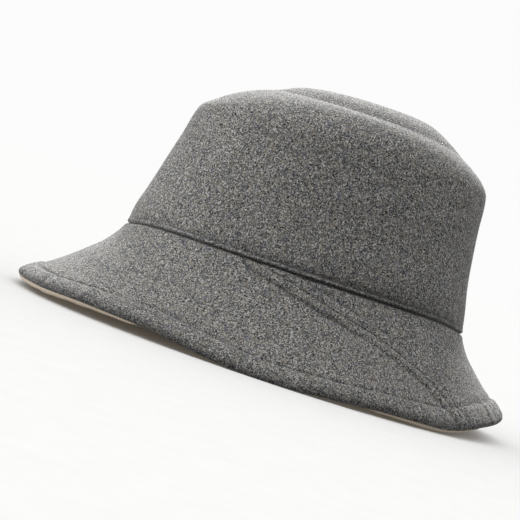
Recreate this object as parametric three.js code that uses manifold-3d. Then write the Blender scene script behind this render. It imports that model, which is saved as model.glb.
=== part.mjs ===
// A soft wool hat: a crown that folds over at a rounded shoulder to a small oval tip,
// and a flaring brim, wide at the front and narrower behind, with a cotton facing.
// Millimetres, +Z up, the front of the hat towards -Y and the wearer's left towards +X.
// The hat rests on its brim, and the origin is on that surface, under its middle.
// Up to the last lines everything is in the hat's own frame, whose origin is the middle
// of the head opening, level with the front and back of the seam above the brim.

import * as THREE from 'three';
import { mergeVertices } from 'three/addons/utils/BufferGeometryUtils.js';
import Module from 'manifold-3d';

// Cloth
const WOOL = 2.2; // felted wool with its stitched seams
const FACING = 1.2; // cotton under the brim
const SEAM_GAP = 0.3; // between two pieces that meet

// Head opening, inside the crown
const HEAD_LENGTH = 199;
const HEAD_WIDTH = 166;
const SEAM_ARCH = 4.3; // how much higher the seam above the brim lies at the sides
const ARCH_FLATNESS = 8; // a higher power keeps the arch level nearer to its ends

// Crown, from the seam above the brim to the seam round the tip
const TIP_SEAM_HEIGHT = { front: 99.5, side: 100, back: 98.3 };
const TIP_LENGTH = 107.5;
const TIP_WIDTH = 92;
const TIP_BACK = 11.3; // how far the middle of the tip lies behind the middle of the opening
const TIP_DOME = 9.8; // how far the tip's middle stands above its seam at the sides

// Brim, measured along its top face
const BRIM_REACH = { front: 50.5, side: 43, back: 37.5 };
const BRIM_DROP = { front: 45.5, side: 51.2, back: 37.5 };
const EDGE_WAVE = 4; // how far the edge waves up and down between front, side and back
const REST_PRESS = 1.6; // how deep the edge is pressed flat where the hat rests on it

// Swooping seam between the brim's front and back panels, degrees round from the front
const SWOOP_START = 77; // at the crown seam
const SWOOP_END = 144.5; // at the brim's edge

// Steps round the hat in the faceted walls
const TURN_STEPS = 60;

// Crown side, by the share of the way up the cloth: the share of the way in from the head
// opening's oval to the tip's, and the share of the tip seam's height. The wall stands up
// to 0.76 and folds over its shoulder above that.
const CROWN_LEAN = [
  { up: 0, front: 0, side: 0, back: 0 },
  { up: 0.12, front: 0.022, side: 0.038, back: 0.055 },
  { up: 0.28, front: 0.092, side: 0.092, back: 0.15 },
  { up: 0.45, front: 0.178, side: 0.154, back: 0.225 },
  { up: 0.6, front: 0.243, side: 0.195, back: 0.273 },
  { up: 0.7, front: 0.283, side: 0.23, back: 0.295 },
  { up: 0.76, front: 0.323, side: 0.282, back: 0.33 },
  { up: 0.82, front: 0.418, side: 0.385, back: 0.44 },
  { up: 0.89, front: 0.59, side: 0.564, back: 0.662 },
  { up: 0.95, front: 0.785, side: 0.77, back: 0.838 },
  { up: 1, front: 1, side: 1, back: 1 },
];
const CROWN_RISE = [
  { up: 0, front: 0, side: 0, back: 0 },
  { up: 0.12, front: 0.1, side: 0.1, back: 0.1 },
  { up: 0.28, front: 0.25, side: 0.25, back: 0.254 },
  { up: 0.45, front: 0.452, side: 0.45, back: 0.458 },
  { up: 0.6, front: 0.603, side: 0.62, back: 0.61 },
  { up: 0.7, front: 0.714, side: 0.74, back: 0.722 },
  { up: 0.76, front: 0.776, side: 0.82, back: 0.8 },
  { up: 0.82, front: 0.824, side: 0.89, back: 0.86 },
  { up: 0.89, front: 0.897, side: 0.95, back: 0.922 },
  { up: 0.95, front: 0.955, side: 0.983, back: 0.96 },
  { up: 1, front: 1, side: 1, back: 1 },
];

// Tip, by the share of the way in from its seam: the share of its rise done by then
const TIP_RISE = [
  { inward: 0, front: 0, side: 0, back: 0 },
  { inward: 0.07, front: 0.19, side: 0.2, back: 0.2 },
  { inward: 0.18, front: 0.46, side: 0.46, back: 0.49 },
  { inward: 0.35, front: 0.69, side: 0.72, back: 0.8 },
  { inward: 0.55, front: 0.86, side: 0.89, back: 0.94 },
  { inward: 0.78, front: 0.96, side: 0.97, back: 0.99 },
  { inward: 1, front: 1, side: 1, back: 1 },
];

// Brim, by the share of the way down its slope: the shares of its reach and drop by then
const BRIM_SLOPE = [
  { down: 0, reach: 0, drop: 0 },
  { down: 0.06, reach: 0.033, drop: 0.08 },
  { down: 0.13, reach: 0.082, drop: 0.168 },
  { down: 0.26, reach: 0.192, drop: 0.32 },
  { down: 0.4, reach: 0.338, drop: 0.465 },
  { down: 0.55, reach: 0.492, drop: 0.612 },
  { down: 0.7, reach: 0.655, drop: 0.75 },
  { down: 0.86, reach: 0.836, drop: 0.888 },
  { down: 1, reach: 1, drop: 1 },
];

// Brim edge, by degrees round from the front: the share of the wave that it is lifted by
const EDGE_LIFT = [
  { turn: 0, lift: 0 },
  { turn: 25, lift: 0.3 },
  { turn: 45, lift: 1.05 },
  { turn: 60, lift: 1.25 },
  { turn: 75, lift: 0.55 },
  { turn: 90, lift: 0 },
  { turn: 105, lift: 0.3 },
  { turn: 115, lift: 0.25 },
  { turn: 125, lift: -0.2 },
  { turn: 140, lift: -1.05 },
  { turn: 155, lift: -0.5 },
  { turn: 180, lift: 0 },
];

// Swooping seam, by the share of the way down the brim: the share of its turn by then
const SWOOP_SWEEP = [
  { down: 0, sweep: 0 },
  { down: 0.08, sweep: 0.22 },
  { down: 0.16, sweep: 0.39 },
  { down: 0.29, sweep: 0.63 },
  { down: 0.4, sweep: 0.76 },
  { down: 0.52, sweep: 0.865 },
  { down: 0.75, sweep: 0.96 },
  { down: 1, sweep: 1 },
];

const DEGREE = Math.PI / 180;
const HALF_TURN = 180;
const OVAL_LENGTH = HEAD_LENGTH + 2 * WOOL;
const OVAL_WIDTH = HEAD_WIDTH + 2 * WOOL;

// Slope of a column at one row of its table, held back so that the curve never overshoots
function slopeAt(table, place, column, row) {
  const slopes = [];
  for (const step of [row - 1, row]) {
    if (step >= 0 && step < table.length - 1) {
      const [low, high] = [table[step], table[step + 1]];
      slopes.push((high[column] - low[column]) / (high[place] - low[place]));
    }
  }
  const before = slopes[0];
  const after = slopes[slopes.length - 1];
  return before * after <= 0 ? 0 : (2 * before * after) / (before + after);
}

// Reads a column of a table anywhere between its rows, along a smooth curve
function read(table, place, column, value) {
  let row = 0;
  while (row < table.length - 2 && value > table[row + 1][place]) {
    row += 1;
  }
  const [low, high] = [table[row], table[row + 1]];
  const span = high[place] - low[place];
  const share = THREE.MathUtils.clamp((value - low[place]) / span, 0, 1);
  const rest = 1 - share;
  const fromLow = low[column] * rest * rest * (1 + 2 * share);
  const fromHigh = high[column] * share * share * (3 - 2 * share);
  const leaving = slopeAt(table, place, column, row) * share * rest * rest;
  const arriving = slopeAt(table, place, column, row + 1) * share * share * rest;
  return fromLow + fromHigh + span * (leaving - arriving);
}

// A size or table column that differs between front, side and back, blended at a turn
function blend(sizes, turn) {
  const end = Math.cos(turn) > 0 ? sizes.front : sizes.back;
  return end * Math.cos(turn) ** 2 + sizes.side * Math.sin(turn) ** 2;
}

function blendColumns(table, place, value, turn) {
  const columns = {};
  for (const side of ['front', 'side', 'back']) {
    columns[side] = read(table, place, side, value);
  }
  return blend(columns, turn);
}

// A point of a level oval whose middle lies some way back
function ovalPoint(length, width, back, turn) {
  return new THREE.Vector3((width / 2) * Math.sin(turn), back - (length / 2) * Math.cos(turn), 0);
}

// The seam above the brim, arched up a little between the hat's front and back
function crownSeam(turn) {
  const arch = SEAM_ARCH * (1 - Math.cos(turn) ** ARCH_FLATNESS);
  return ovalPoint(OVAL_LENGTH, OVAL_WIDTH, 0, turn).setZ(arch);
}

// The three cloth surfaces, each read at a turn round the hat and a share from seam to seam
function crownSide(turn, up) {
  const seam = crownSeam(turn);
  const tipSeam = ovalPoint(TIP_LENGTH, TIP_WIDTH, TIP_BACK, turn);
  const height = blend(TIP_SEAM_HEIGHT, turn) - seam.z;
  const point = seam.clone().lerp(tipSeam, blendColumns(CROWN_LEAN, 'up', up, turn));
  return point.setZ(seam.z + height * blendColumns(CROWN_RISE, 'up', up, turn));
}

function crownTip(turn, inward) {
  const seam = crownSide(turn, 1);
  const middle = new THREE.Vector3(0, TIP_BACK, TIP_SEAM_HEIGHT.side + TIP_DOME);
  const rise = blendColumns(TIP_RISE, 'inward', inward, turn);
  return seam.clone().lerp(middle, inward).setZ(seam.z + (middle.z - seam.z) * rise);
}

function brim(turn, down) {
  const seam = crownSeam(turn);
  const out = new THREE.Vector3(Math.sin(turn) / OVAL_WIDTH, -Math.cos(turn) / OVAL_LENGTH, 0).normalize();
  const degrees = THREE.MathUtils.euclideanModulo(turn / DEGREE, 2 * HALF_TURN);
  const lift = EDGE_WAVE * read(EDGE_LIFT, 'turn', 'lift', Math.min(degrees, 2 * HALF_TURN - degrees));
  const drop = blend(BRIM_DROP, turn) + seam.z - lift;
  const reach = blend(BRIM_REACH, turn) * read(BRIM_SLOPE, 'down', 'reach', down);
  const point = seam.clone().addScaledVector(out, reach);
  return point.setZ(seam.z - drop * read(BRIM_SLOPE, 'down', 'drop', down));
}

function swoopTurn(down) {
  return (SWOOP_START + (SWOOP_END - SWOOP_START) * read(SWOOP_SWEEP, 'down', 'sweep', down)) * DEGREE;
}

// The step of one that points straight into the cloth from its outer face. Seen from far
// below the head opening, every outer face looks away.
const NUDGE = 1e-4;

function inwardStep(surface, turn, share) {
  const round = surface(turn + NUDGE, share).sub(surface(turn - NUDGE, share));
  const along = surface(turn, Math.min(share + NUDGE, 1)).sub(surface(turn, Math.max(share - NUDGE, 0)));
  const step = round.cross(along).normalize();
  const away = surface(turn, share).sub(new THREE.Vector3(0, 0, -HEAD_LENGTH));
  return step.dot(away) > 0 ? step.negate() : step;
}

// Where two walls meet at a seam, the step that is one deep through both of them
function mitreStep(first, second) {
  return first.clone().add(second).divideScalar(1 + first.dot(second));
}

// Triangles
function facingOut(corners) {
  let volume = 0;
  for (let corner = 0; corner < corners.length; corner += 3) {
    const [a, b, c] = corners.slice(corner, corner + 3);
    volume += a.dot(b.clone().cross(c));
  }
  const outward = volume < 0 ? corners.slice().reverse() : corners;
  return mergeVertices(new THREE.BufferGeometry().setFromPoints(outward));
}

// Joins each ring of points to the next. A ring of one point closes the skin there.
function skin(rings) {
  const corners = [];
  for (let ring = 0; ring + 1 < rings.length; ring += 1) {
    const [low, high] = [rings[ring], rings[ring + 1]];
    for (let step = 0; step < TURN_STEPS; step += 1) {
      const next = (step + 1) % TURN_STEPS;
      const [a, b] = [low[step % low.length], low[next % low.length]];
      const [c, d] = [high[next % high.length], high[step % high.length]];
      if (a !== b) corners.push(a, b, c);
      if (c !== d) corners.push(a, c, d);
    }
  }
  return facingOut(corners);
}

// A closed block between two grids of points that face each other
function block(outer, inner) {
  const corners = [];
  const quad = (a, b, c, d) => corners.push(a, b, c, a, c, d);
  const rows = outer.length - 1;
  const columns = outer[0].length - 1;
  const across = Array.from({ length: columns }, (_, column) => column);
  const along = Array.from({ length: rows }, (_, row) => row);
  for (const row of along) {
    for (const column of across) {
      quad(outer[row][column], outer[row][column + 1], outer[row + 1][column + 1], outer[row + 1][column]);
      quad(inner[row][column], inner[row + 1][column], inner[row + 1][column + 1], inner[row][column + 1]);
    }
  }
  const border = [
    ...across.map((column) => [0, column]),
    ...along.map((row) => [row, columns]),
    ...across.map((column) => [rows, columns - column]),
    ...along.map((row) => [rows - row, 0]),
  ];
  border.forEach(([row, column], step) => {
    const [nextRow, nextColumn] = border[(step + 1) % border.length];
    quad(outer[nextRow][nextColumn], outer[row][column], inner[row][column], inner[nextRow][nextColumn]);
  });
  return facingOut(corners);
}

// Walls that go all the way round the hat
const TURNS = Array.from({ length: TURN_STEPS }, (_, step) => (step * 2 * Math.PI) / TURN_STEPS);

// One ring of points, at a share of a surface and a depth below it. At a seam it takes the
// mitre with the neighbour beyond, and stops half the gap short of it.
function ringAt(surface, share, depth, neighbour) {
  return TURNS.map((turn) => {
    const point = surface(turn, share);
    const inward = inwardStep(surface, turn, share);
    if (!neighbour) return point.addScaledVector(inward, depth);
    const back = surface(turn, share === 0 ? NUDGE : 1 - NUDGE).sub(point).setLength(SEAM_GAP / 2);
    const mitred = mitreStep(inward, inwardStep(neighbour.surface, turn, neighbour.share));
    return point.add(back).addScaledVector(mitred, depth);
  });
}

function ringsAt(surface, shares, depth, neighbours) {
  return shares.map((share) => ringAt(surface, share, depth, neighbours[share]));
}

function wall(surface, shares, from, to, neighbours) {
  const outer = ringsAt(surface, shares, from, neighbours);
  const inner = ringsAt(surface, shares, to, neighbours);
  return skin([...outer, ...inner.reverse(), outer[0]]);
}

const sharesOf = (table, place) => table.map((row) => row[place]);

function crownSideWall() {
  const neighbours = { 0: { surface: brim, share: 0 }, 1: { surface: crownTip, share: 0 } };
  return wall(crownSide, sharesOf(CROWN_RISE, 'up'), 0, WOOL, neighbours);
}

function crownTipWall() {
  const shares = sharesOf(TIP_RISE, 'inward').slice(0, -1);
  const neighbours = { 0: { surface: crownSide, share: 1 } };
  const middle = crownTip(0, 1);
  const below = middle.clone().add(new THREE.Vector3(0, 0, -WOOL));
  const outer = ringsAt(crownTip, shares, 0, neighbours);
  const inner = ringsAt(crownTip, shares, WOOL, neighbours);
  return skin([[middle], ...outer.reverse(), ...inner, [below]]);
}

function brimWall() {
  const neighbours = { 0: { surface: crownSide, share: 0 } };
  return wall(brim, sharesOf(BRIM_SLOPE, 'down'), 0, WOOL, neighbours);
}

// The facing lies under the wool, from a little below the crown seam down to the edge
function facingWall() {
  const depth = WOOL + SEAM_GAP;
  return wall(brim, sharesOf(BRIM_SLOPE, 'down').slice(1), depth, depth + FACING, {});
}

// Presses a piece flat at a level
function pressFlat(geometry, level) {
  const place = geometry.getAttribute('position');
  for (let corner = 0; corner < place.count; corner += 1) {
    place.setZ(corner, Math.max(place.getZ(corner), level));
  }
  geometry.computeBoundingBox();
}

const wholeBrimGeometry = brimWall();
const facingGeometry = facingWall();
facingGeometry.computeBoundingBox();

// The hat rests on the pressed edge of its facing, and the wool keeps its gap above that
const restLevel = facingGeometry.boundingBox.min.z + REST_PRESS;
pressFlat(facingGeometry, restLevel);
pressFlat(wholeBrimGeometry, restLevel + SEAM_GAP);

// The brim is cut along the swooping seams into its front and back panels
const wasm = await Module();
wasm.setup();

function toSolid(geometry) {
  const vertProperties = new Float32Array(geometry.getAttribute('position').array);
  const triVerts = new Uint32Array(geometry.index.array);
  return new wasm.Manifold(new wasm.Mesh({ numProp: 3, vertProperties, triVerts }));
}

function toGeometry(solid) {
  const { vertProperties, triVerts } = solid.getMesh();
  const geometry = new THREE.BufferGeometry();
  geometry.setAttribute('position', new THREE.BufferAttribute(vertProperties, 3));
  return geometry.setIndex(new THREE.BufferAttribute(triVerts, 1));
}

// A block round all of the brim in front of the seams, with its ends moved back by a shift,
// both round the hat and up the slope, because the seams cross the brim aslant.
// It stands a margin clear of the brim's faces and of its inner and outer edges.
const BLOCK_MARGIN = 6;
const BLOCK_ROWS = 18;
const BLOCK_COLUMNS = 24;

function frontBlock(shift) {
  const grid = (depth) =>
    Array.from({ length: BLOCK_ROWS + 1 }, (_, row) => {
      const down = THREE.MathUtils.clamp((row - 1) / (BLOCK_ROWS - 2), 0, 1);
      const beyond = row === 0 ? -BLOCK_MARGIN : row === BLOCK_ROWS ? BLOCK_MARGIN : 0;
      const end = swoopTurn(down + shift / BRIM_DROP.side) + (2 * shift) / OVAL_LENGTH;
      return Array.from({ length: BLOCK_COLUMNS + 1 }, (__, column) => {
        const turn = end * ((2 * column) / BLOCK_COLUMNS - 1);
        const slope = brim(turn, Math.min(down + NUDGE, 1)).sub(brim(turn, Math.max(down - NUDGE, 0)));
        const point = brim(turn, down).addScaledVector(slope.normalize(), beyond);
        return point.addScaledVector(inwardStep(brim, turn, down), depth);
      });
    });
  return toSolid(block(grid(-BLOCK_MARGIN), grid(WOOL + BLOCK_MARGIN)));
}

const wholeBrim = toSolid(wholeBrimGeometry);
const brimFrontGeometry = toGeometry(wholeBrim.intersect(frontBlock(-SEAM_GAP / 2)));
const brimBackGeometry = toGeometry(wholeBrim.subtract(frontBlock(SEAM_GAP / 2)));

// Materials: charcoal wool with pale fibres in it, and sand cotton under the brim
const WOOL_COLOUR = '#6b6a69';
const FACING_COLOUR = '#b9a893';
const CLOTH_ROUGHNESS = 0.95;

function clothMesh(name, geometry, colour) {
  const finish = { color: colour, roughness: CLOTH_ROUGHNESS, metalness: 0 };
  const mesh = new THREE.Mesh(geometry, new THREE.MeshStandardMaterial(finish));
  mesh.name = name;
  return mesh;
}

const hat = new THREE.Group();
hat.add(
  clothMesh('crown_tip', crownTipWall(), WOOL_COLOUR),
  clothMesh('crown_side', crownSideWall(), WOOL_COLOUR),
  clothMesh('brim_front', brimFrontGeometry, WOOL_COLOUR),
  clothMesh('brim_back', brimBackGeometry, WOOL_COLOUR),
  clothMesh('brim_facing', facingGeometry, FACING_COLOUR),
);

// The origin goes to the middle of the hat's box, on the surface that it rests on
const box = new THREE.Box3().setFromObject(hat);
hat.position.set(0, -(box.min.y + box.max.y) / 2, -box.min.z);

export default hat;
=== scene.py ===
"""A soft wool hat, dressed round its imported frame: five cloth panels and their stitches.

Shapes are worked out in millimetres in the hat's own frame, whose origin is the middle of
the head opening, and go to metres in the row's frame when a mesh is made. Turns go round
the hat from the front, -Y, towards the wearer's left, +X.
"""

import math

import bpy
import numpy as np
from mathutils import Matrix, Vector
from mathutils.kdtree import KDTree


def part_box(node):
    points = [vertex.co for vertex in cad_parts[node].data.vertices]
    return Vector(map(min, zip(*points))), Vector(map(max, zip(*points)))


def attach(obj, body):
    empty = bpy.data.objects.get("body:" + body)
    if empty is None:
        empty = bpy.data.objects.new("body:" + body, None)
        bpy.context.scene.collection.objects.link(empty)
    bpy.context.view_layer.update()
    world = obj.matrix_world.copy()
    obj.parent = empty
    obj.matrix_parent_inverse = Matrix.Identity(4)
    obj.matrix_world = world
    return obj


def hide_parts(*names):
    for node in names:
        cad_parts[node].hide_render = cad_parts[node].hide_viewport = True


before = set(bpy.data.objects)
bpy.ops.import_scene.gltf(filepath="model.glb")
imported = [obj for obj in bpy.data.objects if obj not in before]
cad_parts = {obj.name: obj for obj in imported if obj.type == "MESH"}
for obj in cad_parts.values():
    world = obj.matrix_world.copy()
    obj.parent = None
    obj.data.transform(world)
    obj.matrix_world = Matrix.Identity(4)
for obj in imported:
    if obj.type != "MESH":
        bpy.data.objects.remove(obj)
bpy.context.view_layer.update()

MM = 0.001
BODY = "root"

# Cloth, in millimetres
WOOL = 2.2
FACING = 1.2
SEAM_GAP = 0.3  # between the brim and its facing. The wool panels meet edge to edge

# Head opening and crown
HEAD_LENGTH = 199
HEAD_WIDTH = 166
OVAL_LENGTH = HEAD_LENGTH + 2 * WOOL
OVAL_WIDTH = HEAD_WIDTH + 2 * WOOL
SEAM_ARCH = 4.3
ARCH_FLATNESS = 8
TIP_SEAM_HEIGHT = {"front": 99.5, "side": 100, "back": 98.3}
TIP_LENGTH = 107.5
TIP_WIDTH = 92
TIP_BACK = 11.3
TIP_DOME = 9.8

# Brim, measured along its top face
BRIM_REACH = {"front": 50.5, "side": 43, "back": 37.5}
BRIM_DROP = {"front": 45.5, "side": 51.2, "back": 37.5}
EDGE_WAVE = 4
SWOOP_START = 76
SWOOP_END = 144.5

# Shares of the way in and up, by the share of the way up the crown's cloth
CROWN = {
    "up": (0, 0.12, 0.28, 0.45, 0.6, 0.7, 0.76, 0.82, 0.89, 0.95, 1),
    "lean_front": (0, 0.022, 0.092, 0.178, 0.243, 0.283, 0.323, 0.418, 0.59, 0.785, 1),
    "lean_side": (0, 0.038, 0.092, 0.154, 0.195, 0.23, 0.282, 0.385, 0.564, 0.77, 1),
    "lean_back": (0, 0.055, 0.15, 0.225, 0.273, 0.295, 0.33, 0.44, 0.662, 0.838, 1),
    "rise_front": (0, 0.1, 0.25, 0.452, 0.603, 0.714, 0.776, 0.824, 0.897, 0.955, 1),
    "rise_side": (0, 0.1, 0.25, 0.45, 0.62, 0.74, 0.82, 0.89, 0.95, 0.983, 1),
    "rise_back": (0, 0.1, 0.254, 0.458, 0.61, 0.722, 0.8, 0.86, 0.922, 0.96, 1),
}
# Shares of the tip's rise, by the share of the way in from its seam
TIP = {
    "inward": (0, 0.07, 0.18, 0.35, 0.55, 0.78, 1),
    "rise_front": (0, 0.19, 0.46, 0.69, 0.86, 0.96, 1),
    "rise_side": (0, 0.2, 0.46, 0.72, 0.89, 0.97, 1),
    "rise_back": (0, 0.2, 0.49, 0.8, 0.94, 0.99, 1),
}
# Shares of the brim's reach and drop, by the share of the way down its slope
SLOPE = {
    "down": (0, 0.06, 0.13, 0.26, 0.4, 0.55, 0.7, 0.86, 1),
    "reach": (0, 0.033, 0.082, 0.192, 0.338, 0.492, 0.655, 0.836, 1),
    "drop": (0, 0.08, 0.168, 0.32, 0.465, 0.612, 0.75, 0.888, 1),
}
# Share of the wave that the edge is lifted by, by degrees round from the front
EDGE = {
    "turn": (0, 25, 45, 60, 75, 90, 105, 115, 125, 140, 155, 180),
    "lift": (0, 0.3, 1.05, 1.25, 0.55, 0, 0.3, 0.25, -0.2, -1.05, -0.5, 0),
}
# Share of the swooping seam's turn, by the share of the way down the brim. Here the seam lies
# up to 2 mm nearer the front than between the solids
SWOOP = {
    "down": (0, 0.08, 0.16, 0.29, 0.4, 0.52, 0.75, 1),
    "sweep": (0, 0.207, 0.369, 0.61, 0.734, 0.85, 0.953, 1),
}
# How the facing shows under the edge, by degrees round from the front: it hangs out where
# this is above 0 and is drawn back where it is below
FACING_SHOWS = {
    "turn": (0, 14, 30, 44, 56, 66, 108, 120, 132, 144, 156, 180),
    "share": (0.4, 0.9, 1, 0.8, 0.2, -1, -1, 0.3, 0.8, 0.4, -0.3, 0),
}

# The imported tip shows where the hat's own frame lies in the row's frame
tip_low, tip_high = (np.array(corner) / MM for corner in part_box("crown_tip"))
HAT_PLACE = np.array(
    (0, (tip_low[1] + tip_high[1]) / 2 - TIP_BACK, tip_high[2] - TIP_SEAM_HEIGHT["side"] - TIP_DOME)
)
FLOOR = -HAT_PLACE[2]

# Seams and stitching, in millimetres from the seam or the edge
CROWN_STITCH = 2.9  # line above the seam over the brim
TIP_STITCH = 3
SWOOP_STITCH = 5.4
CROWN_RIDGE, CROWN_GROOVE = 0.5, 0.8
TIP_RIDGE, TIP_GROOVE = 0.06, 0.08
SWOOP_RIDGE, SWOOP_GROOVE = 0.7, 0.65
HEM_STITCH = 12.9
HEM_WAVE = 1.3  # how far the hem's stitching strays up and down
HEM_WAVES = 4  # round the whole hat
HEM_WIDEST = 67  # degrees round from the front
TIP_EDGE_ROLL = 0.25
SWOOP_EDGE_ROLL = 0.7
CROWN_EDGE_ROLL = 1.2
BRIM_TOP_ROLL = 2.6
HEM_ROLL = 1.9
HEM_DRAWN_IN = 0.6  # how far its stitches sink the cloth
HEM_PUFF = 1.3  # how far the turned-up hem stands proud of the brim
FACING_HANGS = 1.7
FACING_DRAWN_BACK = 2.2
FOOT_SWELL = 1.2  # of the crown's side over its own foot
FOOT_HEIGHT = 20
# painted dark, for a dark area in the photograph that may be a shadow
FOOT_SHADE = 0.45  # painted shade at the crown's foot, standing in for a shadow under its swell
RELIEF_REACH = 3  # how far from a seam a panel's edge still leans to its neighbour's

DEGREE = math.pi / 180
NUDGE = 1e-4


# Reading the tables
def read(table, place, column, value):
    """A column anywhere between its rows, along a smooth curve that never overshoots."""
    at = np.array(table[place], float)
    heights = np.array(table[column], float)
    span = np.diff(at)
    slope = np.diff(heights) / span
    before = np.concatenate([slope[:1], slope])
    after = np.concatenate([slope, slope[-1:]])
    total = np.where(before + after == 0, 1, before + after)
    tangent = np.where(before * after > 0, 2 * before * after / total, 0)
    row = np.clip(np.searchsorted(at, value) - 1, 0, len(span) - 1)
    share = np.clip((value - at[row]) / span[row], 0, 1)
    rest = 1 - share
    straight = heights[row] * rest**2 * (1 + 2 * share) + heights[row + 1] * share**2 * (3 - 2 * share)
    return straight + span[row] * (tangent[row] * share * rest**2 - tangent[row + 1] * share**2 * rest)


def blend(sizes, turn):
    """A size that differs between front, side and back, at a turn."""
    end = np.where(np.cos(turn) > 0, sizes["front"], sizes["back"])
    return end * np.cos(turn) ** 2 + sizes["side"] * np.sin(turn) ** 2


def blended(table, place, columns, value, turn):
    sizes = {side: read(table, place, columns + "_" + side, value) for side in ("front", "side", "back")}
    return blend(sizes, turn)


# The cloth's surfaces
def oval(length, width, back, height, turn):
    return np.stack([width / 2 * np.sin(turn), back - length / 2 * np.cos(turn), height + 0 * turn], -1)


def crown_seam(turn):
    return oval(OVAL_LENGTH, OVAL_WIDTH, 0, SEAM_ARCH * (1 - np.cos(turn) ** ARCH_FLATNESS), turn)


def crown_side(turn, up):
    turn, up = np.broadcast_arrays(turn, up)
    seam = crown_seam(turn)
    tip_seam = oval(TIP_LENGTH, TIP_WIDTH, TIP_BACK, blend(TIP_SEAM_HEIGHT, turn), turn)
    lean = blended(CROWN, "up", "lean", up, turn)
    rise = blended(CROWN, "up", "rise", up, turn)
    return seam + (tip_seam - seam) * np.stack([lean, lean, rise], -1)


def crown_tip(turn, inward):
    turn, inward = np.broadcast_arrays(turn, inward)
    seam = oval(TIP_LENGTH, TIP_WIDTH, TIP_BACK, blend(TIP_SEAM_HEIGHT, turn), turn)
    middle = np.array((0, TIP_BACK, TIP_SEAM_HEIGHT["side"] + TIP_DOME))
    rise = blended(TIP, "inward", "rise", inward, turn)
    return seam + (middle - seam) * np.stack([inward, inward, rise], -1)


def brim(turn, down):
    turn, down = np.broadcast_arrays(turn, down)
    seam = crown_seam(turn)
    out = np.stack([np.sin(turn) / OVAL_WIDTH, -np.cos(turn) / OVAL_LENGTH], -1)
    out = out / np.linalg.norm(out, axis=-1, keepdims=True)
    degrees = np.mod(turn / DEGREE, 360)
    lift = EDGE_WAVE * read(EDGE, "turn", "lift", np.minimum(degrees, 360 - degrees))
    drop = blend(BRIM_DROP, turn) + seam[..., 2] - lift
    reach = blend(BRIM_REACH, turn) * read(SLOPE, "down", "reach", down)
    flat = seam[..., :2] + out * reach[..., None]
    height = seam[..., 2] - drop * read(SLOPE, "down", "drop", down)
    return np.concatenate([flat, height[..., None]], -1)


def swoop_turn(down):
    return (SWOOP_START + (SWOOP_END - SWOOP_START) * read(SWOOP, "down", "sweep", down)) * DEGREE


def directions(surface, turn, share):
    """Steps round the hat and along the cloth from seam to seam."""
    round_hat = surface(turn + NUDGE, share) - surface(turn - NUDGE, share)
    low, high = np.maximum(share - NUDGE, 0), np.minimum(share + NUDGE, 1)
    along = (surface(turn, high) - surface(turn, low)) / np.maximum(high - low, NUDGE)[..., None]
    return round_hat / (2 * NUDGE), along


def outward(surface, turn, share):
    """The step of one that points straight out of the cloth. Seen from far below the head
    opening, every outer face looks away."""
    round_hat, along = directions(surface, turn, np.asarray(share, float))
    step = np.cross(round_hat, along)
    step /= np.maximum(np.linalg.norm(step, axis=-1, keepdims=True), 1e-9)
    away = surface(turn, share) + (0, 0, HEAD_LENGTH)
    return step * np.sign((step * away).sum(-1, keepdims=True))


def lengths_along(surface, turn, samples=300):
    """Shares from seam to seam, and the cloth's length up to each of them at one turn."""
    shares = np.linspace(0, 1, samples)
    steps = np.diff(surface(np.full(samples, turn), shares), axis=0)
    return shares, np.concatenate([[0], np.cumsum(np.linalg.norm(steps, axis=1))])


def share_at(surface, turns, distances):
    """The shares that lie some way along the cloth from its first seam, or from its last if negative."""
    found = []
    for turn, distance in zip(turns, np.broadcast_to(distances, turns.shape)):
        shares, lengths = lengths_along(surface, turn)
        found.append(np.interp(distance if distance > 0 else lengths[-1] + distance, lengths, shares))
    return np.array(found)


def graded(length, places, fine=0.4, coarse=1.5, reach=5):
    """Shares from 0 to 1 along a cloth, with fine steps near some places and coarse ones between."""
    along = np.linspace(0, length, 4000)
    near = sum(np.exp(-(((along - place) / reach) ** 2)) for place in places)
    density = 1 / coarse + np.minimum(near, 1) * (1 / fine - 1 / coarse)
    counted = np.concatenate([[0], np.cumsum((density[1:] + density[:-1]) / 2 * np.diff(along))])
    steps = math.ceil(counted[-1])
    return np.interp(np.linspace(0, counted[-1], steps + 1), counted, along) / length


# Relief, in millimetres
def tree_of(line):
    tree = KDTree(len(line))
    for number, point in enumerate(line):
        tree.insert(point, number)
    tree.balance()
    return tree


def far_from(tree, points):
    flat = points.reshape(-1, 3)
    return np.array([tree.find(point)[2] for point in flat]).reshape(points.shape[:-1])


def rolled(distance, radius):
    """How far a cloth's face has turned in at its own edge."""
    inside = np.clip(1 - distance / radius, 0, 1)
    return radius * (1 - np.sqrt(1 - inside**2))


def bell(distance, width):
    return np.exp(-((distance / width) ** 2))


def drawn_in(distance, near=0.75, far=2.4):
    """How much stitches draw the cloth in: sharply before their line, and gently beyond it."""
    return np.where(distance < 0, bell(distance, near), bell(distance, far))


def topstitched(distance, width, ridge, groove):
    """The relief beside a seam: a ridge up to its stitches, which draw the cloth in."""
    between = np.clip(distance / width, 0, 1)
    return ridge * np.sin(math.pi * between) - groove * drawn_in(distance - width)


def hem_width(turn):
    return HEM_STITCH + HEM_WAVE * np.cos(HEM_WAVES * (turn - HEM_WIDEST * DEGREE))


def puffed(share):
    """A hem's swell from its edge, at 0, to its stitches, at 1. It is highest two thirds of the way."""
    share = np.clip(share, 0, 1)
    return share * np.sqrt(1 - share) * math.sqrt(27 / 4)


def ripple(turn, waves):
    """Small uneven waves round the hat, from pairs of a count and a height."""
    return sum(height * np.sin(count * turn + count**2) for count, height in waves)


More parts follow.
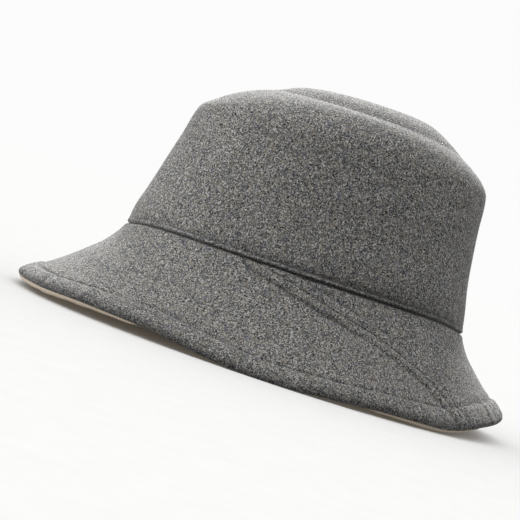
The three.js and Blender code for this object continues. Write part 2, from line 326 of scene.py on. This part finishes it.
ALL_TURNS = np.linspace(0, 2 * math.pi, 2400, endpoint=False)
SLOPE_STEPS = np.linspace(0, 1, 900)
crown_seam_tree = tree_of(crown_side(ALL_TURNS, 0.0))
tip_seam_tree = tree_of(crown_side(ALL_TURNS, 1.0))
edge_tree = tree_of(brim(ALL_TURNS, 1.0))
swoop_lines = [brim(side * swoop_turn(SLOPE_STEPS), SLOPE_STEPS) for side in (1, -1)]
swoop_tree = tree_of(np.concatenate(swoop_lines))

# Soft dents in the crown's side: degrees round, height and sizes in millimetres. The
# hidden side has its own, because no two sides of a soft hat fall alike.
DENTS = (
    {"turn": 78, "height": 66, "wide": 24, "high": 14, "depth": -1.1},
    {"turn": 118, "height": 74, "wide": 26, "high": 11, "depth": -0.9},
    {"turn": 100, "height": 30, "wide": 34, "high": 14, "depth": -0.7},
    {"turn": 40, "height": 62, "wide": 16, "high": 22, "depth": -0.9},
    {"turn": 55, "height": 40, "wide": 9, "high": 26, "depth": 0.6},
    {"turn": 205, "height": 50, "wide": 22, "high": 24, "depth": -1},
    {"turn": 255, "height": 64, "wide": 26, "high": 14, "depth": -1.2},
    {"turn": 290, "height": 38, "wide": 20, "high": 20, "depth": -0.8},
    {"turn": 325, "height": 66, "wide": 18, "high": 16, "depth": -0.9},
)


def dents(turn, height):
    total = np.zeros(np.broadcast(turn, height).shape)
    for dent in DENTS:
        round_hat = np.mod(turn / DEGREE - dent["turn"] + 180, 360) - 180
        total += dent["depth"] * np.exp(
            -((round_hat / dent["wide"]) ** 2) - ((height - dent["height"]) / dent["high"]) ** 2
        )
    return total


def fold_depth(turn):
    """How deep the fold above the brim is: deepest at the sides, where the brim drops most."""
    return 0.2 + 0.75 * np.sin(turn) ** 2


def overhung(turn):
    """How much the crown's side swells over its own foot: most behind the middle, on both sides."""
    degrees = np.mod(turn / DEGREE, 360)
    return bell(np.minimum(degrees, 360 - degrees) - 128, 38)


# Each gives how far the outer face stands out, and how much painted shade darkens it: in the seam grooves,
# along the stitches, at the hem's edge and at the crown's foot
def crown_side_relief(turn, points):
    from_brim = far_from(crown_seam_tree, points)
    from_tip = far_from(tip_seam_tree, points)
    pucker = ripple(turn, ((41, 0.1), (67, 0.08), (93, 0.06))) * bell(from_brim, 5)
    pucker += FOOT_SWELL * overhung(turn) * bell(from_brim - FOOT_HEIGHT, 12)
    edge = fold_depth(turn) * topstitched(from_brim, CROWN_STITCH, CROWN_RIDGE, CROWN_GROOVE)
    edge -= rolled(from_brim, CROWN_EDGE_ROLL)
    top = topstitched(from_tip, TIP_STITCH, TIP_RIDGE, TIP_GROOVE) - rolled(from_tip, TIP_EDGE_ROLL)
    # painted shade in the groove of the seam over the brim and along its stitches, deepest where the fold is
    # deepest
    shade = bell(from_brim, 1) + 0.6 * drawn_in(from_brim - CROWN_STITCH, 0.7, 1.4)
    # painted shade at the crown's foot under its swell, standing in for a shadow
    shade = shade * fold_depth(turn) + FOOT_SHADE * overhung(turn) * bell(from_brim, 9)
    # painted shade in the tip seam's groove and along its stitches
    shade += 0.1 * bell(from_tip, 0.7) + 0.05 * bell(from_tip - TIP_STITCH, 0.7)
    return dents(turn, points[..., 2]) + pucker + edge + top, shade


def crown_tip_relief(turn, points):
    from_seam = far_from(tip_seam_tree, points)
    top = topstitched(from_seam, TIP_STITCH, TIP_RIDGE, TIP_GROOVE) - rolled(from_seam, TIP_EDGE_ROLL)
    swell = -0.5 * bell(points[..., 0] - 14, 22) * bell(points[..., 1] - 2, 26)
    # painted shade in the tip seam's groove and along its stitches
    return top + swell, 0.1 * bell(from_seam, 0.7) + 0.05 * bell(from_seam - TIP_STITCH, 0.7)


def brim_relief(turn, points):
    from_crown = far_from(crown_seam_tree, points)
    from_swoop = far_from(swoop_tree, points)
    from_edge = far_from(edge_tree, points)
    width = hem_width(turn)
    swoop = topstitched(from_swoop, SWOOP_STITCH, SWOOP_RIDGE, SWOOP_GROOVE)
    hem = HEM_PUFF * puffed(from_edge / width) - HEM_DRAWN_IN * drawn_in(width - from_edge, 0.9, 1.8)
    uneven = ripple(turn, ((37, 0.2), (58, 0.18), (83, 0.14), (131, 0.08)))
    pucker = uneven / (1 + np.exp((from_edge - width - 3) / 1.5))
    turned_in = (
        rolled(from_crown, BRIM_TOP_ROLL) + rolled(from_swoop, SWOOP_EDGE_ROLL) + rolled(from_edge, HEM_ROLL)
    )
    # painted shade in the seams' grooves, along the stitches, and towards the hem's edge, which turns under
    # away from the light
    shade = fold_depth(turn) * bell(from_crown, 0.7) + 0.1 * bell(from_swoop, 0.7) + 0.6 * bell(from_edge, 4)
    shade += 0.3 * drawn_in(from_swoop - SWOOP_STITCH, 0.7, 1.4) + 0.3 * drawn_in(from_edge - width, 0.8, 1.4)
    return swoop + hem + pucker - turned_in, shade


# Meshes
def new_mesh(name, points, faces, cloth, shade):
    """A smooth mesh from points in the hat's frame, with their places on the flat cloth and their painted
    shades.
    """
    mesh = bpy.data.meshes.new(name)
    mesh.from_pydata(((points + HAT_PLACE) * MM).tolist(), [], faces)
    mesh.polygons.foreach_set("use_smooth", np.ones(len(mesh.polygons), bool))
    places = mesh.attributes.new("cloth", "FLOAT_VECTOR", "POINT")
    places.data.foreach_set("vector", cloth.astype(np.float32).ravel())
    # painted shade, by which the wool's material is darkened
    shades = mesh.attributes.new("shade", "FLOAT", "POINT")
    shades.data.foreach_set("value", np.clip(shade, 0, 1).astype(np.float32))
    mesh.validate()
    piece = bpy.data.objects.new(name, mesh)
    bpy.context.scene.collection.objects.link(piece)
    return piece


def volume(points, quads):
    """The signed volume inside closed quads, negative where they face inwards."""
    a, b, c, d = (points[quads[:, corner]] for corner in range(4))
    return (a * (np.cross(b, c) + np.cross(c, d))).sum() / 6


def joined_rings(index, closed_round, skipped=()):
    """Quads that join each ring of points to the next, and the last to the first."""
    rows, columns = index.shape
    across = np.arange(columns if closed_round else columns - 1)
    beside = (across + 1) % columns
    quads = []
    for row in range(rows):
        if row not in skipped:
            low, high = index[row], index[(row + 1) % rows]
            quads.append(np.stack([low[across], low[beside], high[beside], high[across]], -1))
    return quads


def cloth_piece(name, outer, inner, shade, closed_round, pole=False):
    """A closed piece of cloth between its outer and inner faces, grids of rows from seam to seam."""
    rings = np.concatenate([outer, inner[::-1]])
    shades = np.concatenate([shade, np.zeros(inner.shape[:2])]).ravel()
    rows, columns = rings.shape[:2]
    index = np.arange(rows * columns).reshape(rows, columns)
    skipped = []
    if pole:
        last = len(outer) - 1
        index[last] = index[last, 0]
        index[last + 1] = index[last + 1, 0]
        skipped = [last]
    quads = joined_rings(index, closed_round, skipped)
    if not closed_round:
        up = np.arange(len(outer) - 1)
        down = rows - 1 - up
        quads.append(np.stack([index[up, 0], index[up + 1, 0], index[down - 1, 0], index[down, 0]], -1))
        quads.append(np.stack([index[up + 1, -1], index[up, -1], index[down, -1], index[down - 1, -1]], -1))
    quads = np.concatenate(quads)
    points = rings.reshape(-1, 3)
    if volume(points, quads) < 0:
        quads = quads[:, ::-1]
    used, quads = np.unique(quads, return_inverse=True)
    quads = quads.reshape(-1, 4)
    at_pole = (quads == np.roll(quads, 1, axis=1)).any(1)
    faces = quads[~at_pole].tolist() + [list(dict.fromkeys(quad)) for quad in quads[at_pole].tolist()]
    steps = np.linalg.norm(np.diff(rings, axis=1, append=rings[:, :1]), axis=2).mean(1)
    round_hat = np.arange(columns)[None, :] * steps[:, None].mean()
    along = np.concatenate([[0], np.cumsum(np.linalg.norm(np.diff(rings, axis=0), axis=2).mean(1))])
    cloth = np.stack([round_hat + 0 * along[:, None], along[:, None] + 0 * round_hat, 0 * rings[..., 0]], -1)
    return new_mesh(name, points[used], faces, cloth.reshape(-1, 3)[used] * MM, shades[used])


def leaning(surface, turn, share, length, neighbours):
    """The cloth's outward steps, leaning near each seam to the mitre with the neighbour beyond it."""
    own = outward(surface, turn, share)
    for place, (other, other_share) in neighbours.items():
        first = outward(surface, turn, np.full(turn.shape, float(place)))
        second = outward(other, turn, np.full(turn.shape, float(other_share)))
        mitre = (first + second) / (1 + (first * second).sum(-1, keepdims=True))
        near = np.clip(1 - np.abs(share - place) * length / RELIEF_REACH, 0, 1)[..., None]
        own = own + (mitre - own) * near**2 * (3 - 2 * near)
    return own


def faces_of(surface, turn, share, length, relief, neighbours, depth):
    """The outer and inner faces of a wall of cloth at a grid of turns and shares, and its painted shade."""
    place = surface(turn, share)
    out = leaning(surface, turn, share, length, neighbours)
    height, shade = relief(turn, place)
    sunk = np.full(turn.shape, float(depth))
    for seam in neighbours:
        sunk -= rolled(np.abs(share - seam) * length, depth / 4)
    return place + out * height[..., None], place - out * sunk[..., None], shade


def resting(points, gap=0.0):
    """The cloth pressed flat where it meets the floor."""
    points[..., 2] = np.maximum(points[..., 2], FLOOR + gap)
    return points


SIDE = math.pi / 2
CROWN_LENGTH = lengths_along(crown_side, SIDE)[1][-1]
TIP_RADIUS = lengths_along(crown_tip, SIDE)[1][-1]
BRIM_LENGTH = lengths_along(brim, SIDE)[1][-1]
CROWN_SEAMS = {0: (brim, 0), 1: (crown_tip, 0)}
TIP_SEAMS = {0: (crown_side, 1)}
BRIM_SEAMS = {0: (crown_side, 0)}


def whole_turns(count):
    return np.linspace(0, 2 * math.pi, count, endpoint=False)


def make_crown_side():
    shares = graded(CROWN_LENGTH, (0, CROWN_LENGTH))
    turn, share = np.meshgrid(whole_turns(480), shares)
    outer, inner, shade = faces_of(
        crown_side, turn, share, CROWN_LENGTH, crown_side_relief, CROWN_SEAMS, WOOL
    )
    inside = np.unique(np.linspace(0, len(shares) - 1, 40).astype(int))
    return cloth_piece("crown_side_wool", outer, inner[inside], shade, True)


def make_crown_tip():
    shares = graded(TIP_RADIUS, (0,))
    turn, share = np.meshgrid(whole_turns(320), shares)
    outer, inner, shade = faces_of(crown_tip, turn, share, TIP_RADIUS, crown_tip_relief, TIP_SEAMS, WOOL)
    outer[-1], inner[-1] = outer[-2].mean(0), inner[-2].mean(0)
    return cloth_piece("crown_tip_wool", outer, inner, shade, True, pole=True)


def make_brim_panel(name, start, end, columns):
    """A panel of the brim between two seams, whose turns follow from the share of the way down."""
    places = (0, BRIM_LENGTH - HEM_STITCH, BRIM_LENGTH - 2, BRIM_LENGTH)
    shares = graded(BRIM_LENGTH, places, coarse=1.6, reach=3)
    width = (end(1.0) - start(1.0)) * OVAL_LENGTH / 2 * 1.4
    across = graded(width, (0, width), fine=0.5, coarse=width / columns)
    low, high = start(shares), end(shares)
    turn = low[:, None] + (high - low)[:, None] * across[None, :]
    share = np.broadcast_to(shares[:, None], turn.shape)
    outer, inner, shade = faces_of(brim, turn, share, BRIM_LENGTH, brim_relief, BRIM_SEAMS, WOOL)
    return cloth_piece(name, resting(outer, SEAM_GAP), resting(inner, SEAM_GAP), shade, False)


def make_facing():
    """The facing bags out below the edge in places, and is drawn back under it in others."""
    start = SLOPE["down"][1]
    turns = whole_turns(420)
    degrees = np.minimum(turns / DEGREE, 360 - turns / DEGREE)
    shows = read(FACING_SHOWS, "turn", "share", degrees)
    end = 1 - FACING_DRAWN_BACK * np.maximum(-shows, 0) / BRIM_LENGTH
    steps = graded(BRIM_LENGTH, (BRIM_LENGTH,), coarse=2.5, reach=3)
    turn = np.broadcast_to(turns, (len(steps), len(turns)))
    share = start + (end - start)[None, :] * steps[:, None]
    place = brim(turn, share)
    out = outward(brim, turn, share)
    hangs = FACING_HANGS * np.maximum(shows, 0) * bell((1 - share) * BRIM_LENGTH, 5)
    hangs += 0.15 * ripple(turn, ((29, 1), (53, 0.8))) * bell((1 - share) * BRIM_LENGTH, 6)
    edge_roll = rolled((end - share) * BRIM_LENGTH, FACING / 2)
    outer = place - out * (WOOL + SEAM_GAP + edge_roll)[..., None]
    inner = place - out * (WOOL + SEAM_GAP + FACING + hangs - edge_roll)[..., None]
    return cloth_piece("brim_facing_cotton", resting(outer), resting(inner), 0 * turn, True)


crown_side_wool = make_crown_side()
crown_tip_wool = make_crown_tip()
brim_front_wool = make_brim_panel("brim_front_wool", lambda down: -swoop_turn(down), swoop_turn, 400)
brim_back_wool = make_brim_panel(
    "brim_back_wool", swoop_turn, lambda down: 2 * math.pi - swoop_turn(down), 150
)
brim_facing_cotton = make_facing()


# Materials
def from_hex(colour):
    """An sRGB hex colour as linear red, green, blue and alpha."""
    channels = [int(colour[place : place + 2], 16) / 255 for place in (1, 3, 5)]
    return [c / 12.92 if c <= 0.04045 else ((c + 0.055) / 1.055) ** 2.4 for c in channels] + [1]


def add(tree, kind, inputs=None, **settings):
    """Adds a node with its settings, and links or sets its inputs."""
    node = tree.nodes.new(kind)
    for setting, value in settings.items():
        setattr(node, setting, value)
    for socket, value in (inputs or {}).items():
        if isinstance(value, bpy.types.NodeSocket):
            tree.links.new(value, node.inputs[socket])
        else:
            node.inputs[socket].default_value = value
    return node


def new_material(name):
    material = bpy.data.materials.new(name)
    material.use_nodes = True
    material.node_tree.nodes.clear()
    return material, material.node_tree


def hairs(tree, place, spacing, width, seed):
    """Thin winding hairs, one where a hair runs and none between. Noise crosses its middle along
    winding lines about a spacing apart."""
    moved = add(tree, "ShaderNodeVectorMath", {0: place, 1: (seed, -seed, 2 * seed)}, operation="ADD")
    noise = add(
        tree,
        "ShaderNodeTexNoise",
        {"Vector": moved.outputs[0], "Scale": 1 / (spacing * MM), "Detail": 1.0, "Distortion": 1.2},
    )
    middle = add(tree, "ShaderNodeMath", {0: noise.outputs["Fac"], 1: 0.5}, operation="SUBTRACT")
    away = add(tree, "ShaderNodeMath", {0: middle.outputs[0]}, operation="ABSOLUTE")
    return add(
        tree,
        "ShaderNodeMapRange",
        {"Value": away.outputs[0], "From Min": 0.0, "From Max": width, "To Min": 1.0, "To Max": 0.0},
        interpolation_type="SMOOTHSTEP",
    ).outputs[0]


def mixed(tree, share, first, second):
    """A colour mixed from two by a share."""
    node = add(tree, "ShaderNodeMix", data_type="RGBA")
    for socket, value in ((0, share), (6, first), (7, second)):
        if isinstance(value, bpy.types.NodeSocket):
            tree.links.new(value, node.inputs[socket])
        else:
            node.inputs[socket].default_value = value
    return node.outputs[2]


def scaled(tree, value, size):
    return add(tree, "ShaderNodeMath", {0: value, 1: size}, operation="MULTIPLY").outputs[0]


def flecks(tree, place, size, low, high, seed):
    """Soft specks about a size apart, where fibres of one colour crowd together."""
    moved = add(tree, "ShaderNodeVectorMath", {0: place, 1: (2 * seed, seed, -seed)}, operation="ADD")
    noise = add(
        tree,
        "ShaderNodeTexNoise",
        {
            "Vector": moved.outputs[0],
            "Scale": 1 / (size * MM),
            "Detail": 1.5,
            "Roughness": 0.6,
            "Distortion": 0.5,
        },
    )
    return add(
        tree,
        "ShaderNodeMapRange",
        {"Value": noise.outputs["Fac"], "From Min": low, "From Max": high},
        interpolation_type="SMOOTHSTEP",
    ).outputs[0]


def melton_wool():
    """Melton: woven wool, milled until its fibres felt over the weave. Dark and pale fibres are
    mixed before spinning, so it looks grey from afar and peppered close by, with a dull nap.
    Real fibres are far too fine to draw, so the specks stand for small crowds of them."""
    material, tree = new_material("charcoal_melton_wool")
    place = add(tree, "ShaderNodeTexCoord").outputs["Object"]
    pale = flecks(tree, place, 0.85, 0.48, 0.61, 0.4)
    dark = flecks(tree, place, 0.9, 0.51, 0.38, 7.7)
    bright = hairs(tree, place, 1.9, 0.045, 3.1)
    tan = flecks(tree, place, 2.6, 0.53, 0.66, 5.3)
    blue = flecks(tree, place, 2.9, 0.53, 0.66, 9.9)
    clumps = add(tree, "ShaderNodeTexNoise", {"Vector": place, "Scale": 1 / (24 * MM), "Detail": 2.0})
    shade = mixed(tree, clumps.outputs["Fac"], from_hex("#3a3a3a"), from_hex("#484747"))
    shade = mixed(tree, scaled(tree, pale, 0.85), shade, from_hex("#a09f9b"))
    shade = mixed(tree, scaled(tree, dark, 0.95), shade, from_hex("#0b0b0c"))
    shade = mixed(tree, scaled(tree, bright, 0.5), shade, from_hex("#b4b2ae"))
    shade = mixed(tree, scaled(tree, blue, 0.35), shade, from_hex("#414655"))
    shade = mixed(tree, scaled(tree, tan, 0.35), shade, from_hex("#7a7163"))
    # painted shade: the wool darkened along seams, stitches, the hem's edge and the crown's foot, where shade
    # falls
    painted_shade = add(tree, "ShaderNodeAttribute", attribute_name="shade").outputs["Fac"]
    shade = mixed(tree, scaled(tree, painted_shade, 0.85), shade, from_hex("#0e0e10"))
    height = add(tree, "ShaderNodeMath", {0: pale, 1: dark}, operation="SUBTRACT").outputs[0]
    nap = add(tree, "ShaderNodeBump", {"Height": height, "Strength": 0.6, "Distance": 0.25 * MM})
    surface = add(
        tree,
        "ShaderNodeBsdfPrincipled",
        {
            "Base Color": shade,
            "Roughness": 0.95,
            "Specular IOR Level": 0.15,
            "Sheen Weight": 0.12,
            "Sheen Roughness": 0.4,
            "Normal": nap.outputs[0],
        },
    )
    add(tree, "ShaderNodeOutputMaterial", {"Surface": surface.outputs[0]})
    return material


def cotton_twill():
    """Cotton twill: the weave's fine slanting ribs give a dull cloth a faint grain. The ribs are
    drawn 1.1 mm apart, about twice the real ones, so that they show."""
    material, tree = new_material("sand_cotton_twill")
    cloth = add(tree, "ShaderNodeAttribute", attribute_name="cloth").outputs["Vector"]
    turned = add(tree, "ShaderNodeMapping", {"Vector": cloth, "Rotation": (0, 0, 45 * DEGREE)})
    ribs = add(
        tree,
        "ShaderNodeTexWave",
        {
            "Vector": turned.outputs[0],
            "Scale": 1 / (20 / math.pi * 1.1 * MM) * 2,
            "Distortion": 0.8,
            "Detail": 1.0,
        },
    )
    slubs = add(tree, "ShaderNodeTexNoise", {"Vector": cloth, "Scale": 1 / (3 * MM), "Detail": 3.0})
    shade = mixed(tree, ribs.outputs["Fac"], from_hex("#a2937f"), from_hex("#c8bbaa"))
    shade = mixed(tree, scaled(tree, slubs.outputs["Fac"], 0.4), shade, from_hex("#8f7f6b"))
    weave = add(
        tree, "ShaderNodeBump", {"Height": ribs.outputs["Fac"], "Strength": 0.5, "Distance": 0.15 * MM}
    )
    surface = add(
        tree,
        "ShaderNodeBsdfPrincipled",
        {
            "Base Color": shade,
            "Roughness": 0.9,
            "Specular IOR Level": 0.25,
            "Sheen Weight": 0.1,
            "Normal": weave.outputs[0],
        },
    )
    add(tree, "ShaderNodeOutputMaterial", {"Surface": surface.outputs[0]})
    return material


def polyester_thread():
    """Spun polyester thread: dull, and a little darker than the wool it is sewn through."""
    material, tree = new_material("charcoal_polyester_thread")
    place = add(tree, "ShaderNodeTexCoord").outputs["Object"]
    twist = add(tree, "ShaderNodeTexNoise", {"Vector": place, "Scale": 1 / (0.5 * MM), "Detail": 2.0})
    shade = mixed(tree, twist.outputs["Fac"], from_hex("#232325"), from_hex("#454548"))
    surface = add(
        tree, "ShaderNodeBsdfPrincipled", {"Base Color": shade, "Roughness": 0.7, "Specular IOR Level": 0.35}
    )
    add(tree, "ShaderNodeOutputMaterial", {"Surface": surface.outputs[0]})
    return material


wool = melton_wool()
cotton = cotton_twill()
thread = polyester_thread()
for piece in (crown_side_wool, crown_tip_wool, brim_front_wool, brim_back_wool):
    piece.data.materials.append(wool)
brim_facing_cotton.data.materials.append(cotton)


# Stitches
STITCH_PITCH = 3.6
STITCH_LENGTH = 3.0
STITCH_WIDTH = 0.6


def stitch_tree():
    """Lays a stitch at each step along lines of points that carry the cloth's outward step."""
    tree = bpy.data.node_groups.new("stitches", "GeometryNodeTree")
    tree.interface.new_socket("Geometry", in_out="INPUT", socket_type="NodeSocketGeometry")
    for name in ("Pitch", "Length", "Width"):
        tree.interface.new_socket(name, in_out="INPUT", socket_type="NodeSocketFloat")
    tree.interface.new_socket("Geometry", in_out="OUTPUT", socket_type="NodeSocketGeometry")
    given = add(tree, "NodeGroupInput").outputs
    lines = add(tree, "GeometryNodeMeshToCurve", {"Mesh": given["Geometry"]})
    steps = add(
        tree,
        "GeometryNodeResampleCurve",
        {"Curve": lines.outputs[0], "Length": given["Pitch"]},
        mode="LENGTH",
    )
    out = add(tree, "GeometryNodeInputNamedAttribute", {"Name": "out"}, data_type="FLOAT_VECTOR")
    tangent = add(tree, "GeometryNodeInputTangent")
    along = add(tree, "FunctionNodeAlignRotationToVector", {"Vector": tangent.outputs[0]}, axis="X")
    upright = add(
        tree,
        "FunctionNodeAlignRotationToVector",
        {"Rotation": along.outputs[0], "Vector": out.outputs["Attribute"]},
        axis="Z",
        pivot_axis="X",
    )
    ball = add(tree, "GeometryNodeMeshUVSphere", {"Segments": 8, "Rings": 5, "Radius": 0.5})
    size = add(
        tree, "ShaderNodeCombineXYZ", {"X": given["Length"], "Y": given["Width"], "Z": given["Width"]}
    )
    stitch = add(tree, "GeometryNodeTransform", {"Geometry": ball.outputs[0], "Scale": size.outputs[0]})
    laid = add(
        tree,
        "GeometryNodeInstanceOnPoints",
        {"Points": steps.outputs[0], "Instance": stitch.outputs[0], "Rotation": upright.outputs[0]},
    )
    real = add(tree, "GeometryNodeRealizeInstances", {"Geometry": laid.outputs[0]})
    finished = add(tree, "GeometryNodeSetMaterial", {"Geometry": real.outputs[0], "Material": thread})
    add(tree, "NodeGroupOutput", {"Geometry": finished.outputs[0]})
    return tree


def baked(piece, tree, inputs):
    """The plain mesh that a tree of nodes makes from a piece, in the piece's place."""
    modifier = piece.modifiers.new("nodes", "NODES")
    modifier.node_group = tree
    for socket in tree.interface.items_tree:
        if socket.in_out == "INPUT" and socket.name in inputs:
            modifier[socket.identifier] = inputs[socket.name]
    bpy.context.view_layer.update()
    made = bpy.data.meshes.new_from_object(piece.evaluated_get(bpy.context.evaluated_depsgraph_get()))
    made.name = piece.name
    piece.modifiers.clear()
    piece.data = made
    return piece


def stitch_line(name, lines):
    """Stitches along lines, each of points in the hat's frame, outward steps, and whether it closes."""
    points, steps, edges = [], [], []
    for line, out, closed in lines:
        first = sum(len(part) for part in points)
        count = len(line)
        starts = range(count if closed else count - 1)
        edges += [(first + place, first + (place + 1) % count) for place in starts]
        points.append(line)
        steps.append(out)
    mesh = bpy.data.meshes.new(name)
    mesh.from_pydata(((np.concatenate(points) + HAT_PLACE) * MM).tolist(), edges, [])
    outs = mesh.attributes.new("out", "FLOAT_VECTOR", "POINT")
    outs.data.foreach_set("vector", np.concatenate(steps).ravel())
    piece = bpy.data.objects.new(name, mesh)
    bpy.context.scene.collection.objects.link(piece)
    sizes = {"Pitch": STITCH_PITCH * MM, "Length": STITCH_LENGTH * MM, "Width": STITCH_WIDTH * MM}
    return baked(piece, stitches, sizes)


def on_face(surface, relief, turn, share, sink=0.1):
    """Places on a cloth's outer face, sunk a little, and the outward steps there."""
    place = surface(turn, share)
    out = outward(surface, turn, share)
    return place + out * (relief(turn, place)[0] - sink)[..., None], out


def beside_swoop(side, distance):
    """Turns and shares down along a line beside a swooping seam, on the cloth of the brim."""
    down = np.linspace(0, 1, 500)
    turn = side * swoop_turn(down)
    seam = brim(turn, down)
    out = outward(brim, turn, down)
    tangent = np.gradient(seam, axis=0)
    tangent /= np.linalg.norm(tangent, axis=1, keepdims=True)
    across = np.cross(out, tangent) * side * distance
    round_hat, along = directions(brim, turn, down)
    found = [
        np.linalg.lstsq(np.stack([a, b], 1), c, rcond=None)[0] for a, b, c in zip(round_hat, along, across)
    ]
    turn, down = turn + np.array(found)[:, 0], down + np.array(found)[:, 1]
    on_brim = (down > 1.5 / BRIM_LENGTH) & (down < 1 - 0.5 / BRIM_LENGTH)
    return turn[on_brim], down[on_brim]


stitches = stitch_tree()
turns = whole_turns(720)
crown_stitches = stitch_line(
    "crown_edge_stitches",
    [(*on_face(crown_side, crown_side_relief, turns, share_at(crown_side, turns, CROWN_STITCH)), True)],
)
tip_stitches = stitch_line(
    "tip_seam_stitches",
    [
        (*on_face(crown_side, crown_side_relief, turns, share_at(crown_side, turns, -TIP_STITCH)), True),
        (*on_face(crown_tip, crown_tip_relief, turns, share_at(crown_tip, turns, TIP_STITCH)), True),
    ],
)
swoop_stitches = stitch_line(
    "swoop_seam_stitches",
    [
        (*on_face(brim, brim_relief, *beside_swoop(side, distance)), False)
        for side in (1, -1)
        for distance in (SWOOP_STITCH, -SWOOP_STITCH)
    ],
)
hem_stitches = stitch_line(
    "hem_stitches", [(*on_face(brim, brim_relief, turns, share_at(brim, turns, -hem_width(turns))), True)]
)

WOOL_PIECES = (crown_side_wool, crown_tip_wool, brim_front_wool, brim_back_wool)
STITCHES = (crown_stitches, tip_stitches, swoop_stitches, hem_stitches)
PIECES = (*WOOL_PIECES, brim_facing_cotton, *STITCHES)

# What each piece stands for and rides on
for piece, node, slot in (
    (crown_side_wool, "crown_side", "wool"),
    (crown_tip_wool, "crown_tip", "wool"),
    (brim_front_wool, "brim_front", "wool"),
    (brim_back_wool, "brim_back", "wool"),
    (brim_facing_cotton, "brim_facing", "facing"),
):
    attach(piece, BODY)
    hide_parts(node)
for piece in STITCHES:
    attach(piece, BODY)


# Floor, light and camera
def painted_floor():
    """A plain pale studio floor of painted board: dull and even."""
    material, tree = new_material("pale_painted_board")
    place = add(tree, "ShaderNodeTexCoord").outputs["Object"]
    speckle = add(tree, "ShaderNodeTexNoise", {"Vector": place, "Scale": 60.0, "Detail": 2.0})
    shade = mixed(tree, speckle.outputs["Fac"], from_hex("#f2f2f1"), from_hex("#f8f8f7"))
    surface = add(
        tree, "ShaderNodeBsdfPrincipled", {"Base Color": shade, "Roughness": 0.9, "Specular IOR Level": 0.1}
    )
    add(tree, "ShaderNodeOutputMaterial", {"Surface": surface.outputs[0]})
    return material


FLOOR_SIZE = 14
floor_mesh = bpy.data.meshes.new("floor")
half = FLOOR_SIZE / 2
corners = [(-half, -half, 0), (half, -half, 0), (half, half, 0), (-half, half, 0)]
floor_mesh.from_pydata(corners, [], [(0, 1, 2, 3)])
floor = bpy.data.objects.new("floor", floor_mesh)
bpy.context.scene.collection.objects.link(floor)
floor.data.materials.append(painted_floor())
floor.visible_diffuse = False  # so that it doesn't brighten the brim from below


def soft_light(name, place, aim, size, power):
    """A round soft box that lights the hat alone, so that the floor stays as pale as what is behind it."""
    lamp = bpy.data.lights.new(name, "AREA")
    lamp.shape = "DISK"
    lamp.size = size
    lamp.energy = power
    light = bpy.data.objects.new(name, lamp)
    light.location = place
    light.rotation_euler = (Vector(aim) - Vector(place)).to_track_quat("-Z", "Y").to_euler()
    light.light_linking.receiver_collection = lit
    light.visible_camera = False
    bpy.context.scene.collection.objects.link(light)


lit = bpy.data.collections.new("lit")
for piece in PIECES:
    lit.objects.link(piece)
HAT_MIDDLE = (0, 0, 0.08)
LAMP_SIZE = 1.0
LAMPS = (
    {"name": "front_light", "place": (0, -1.97, 0.43), "power": 31},
    {"name": "far_light", "place": (-1.64, 0, 1.23), "power": 95},
    {"name": "overhead_light", "place": (0.5, -0.87, 1.81), "power": 20},
)
for one in LAMPS:
    soft_light(one["name"], one["place"], HAT_MIDDLE, LAMP_SIZE, one["power"])


def studio():
    """A white studio, a little brighter overhead, and dim below the floor."""
    world = bpy.data.worlds.new("studio")
    world.use_nodes = True
    tree = world.node_tree
    way = add(tree, "ShaderNodeTexCoord").outputs["Generated"]
    height = add(tree, "ShaderNodeSeparateXYZ", {0: way}).outputs["Z"]
    below = add(
        tree,
        "ShaderNodeMapRange",
        {"Value": height, "From Min": -0.3, "From Max": -0.08, "To Min": 0.25, "To Max": 0.97},
    )
    above = add(
        tree,
        "ShaderNodeMapRange",
        {"Value": height, "From Min": 0.15, "From Max": 0.7, "To Min": 0.0, "To Max": 0.12},
    )
    strength = add(tree, "ShaderNodeMath", {0: below.outputs[0], 1: above.outputs[0]}, operation="ADD")
    background = tree.nodes["Background"]
    background.inputs["Color"].default_value = (1, 1, 1, 1)
    tree.links.new(strength.outputs[0], background.inputs["Strength"])
    return world


bpy.context.scene.world = studio()
bpy.context.scene.view_settings.view_transform = "Standard"

# Camera: almost level with the brim, on the wearer's left, and rolled as the photograph is
IMAGE_SIZE = 520
PIXEL_SIZE = 0.577 * MM  # at the hat's middle
CAMERA_DISTANCE = 1.2
CAMERA_HEIGHT_ANGLE = 1.5 * DEGREE
CAMERA_ROLL = 18.54 * DEGREE
AIM_IN_HAT = (0, -22.1, 3.2)  # what lies at the middle of the photograph, in the hat's own frame
AIM = Vector(HAT_PLACE + AIM_IN_HAT) * MM

camera = bpy.data.objects.new("camera", bpy.data.cameras.new("camera"))
camera.data.angle = 2 * math.atan(IMAGE_SIZE / 2 * PIXEL_SIZE / CAMERA_DISTANCE)
back = Vector((math.cos(CAMERA_HEIGHT_ANGLE), 0, math.sin(CAMERA_HEIGHT_ANGLE)))
turned = back.to_track_quat("Z", "Y").to_matrix().to_4x4() @ Matrix.Rotation(CAMERA_ROLL, 4, "Z")
camera.matrix_world = Matrix.Translation(AIM + back * CAMERA_DISTANCE) @ turned
bpy.context.scene.collection.objects.link(camera)
bpy.context.scene.camera = camera
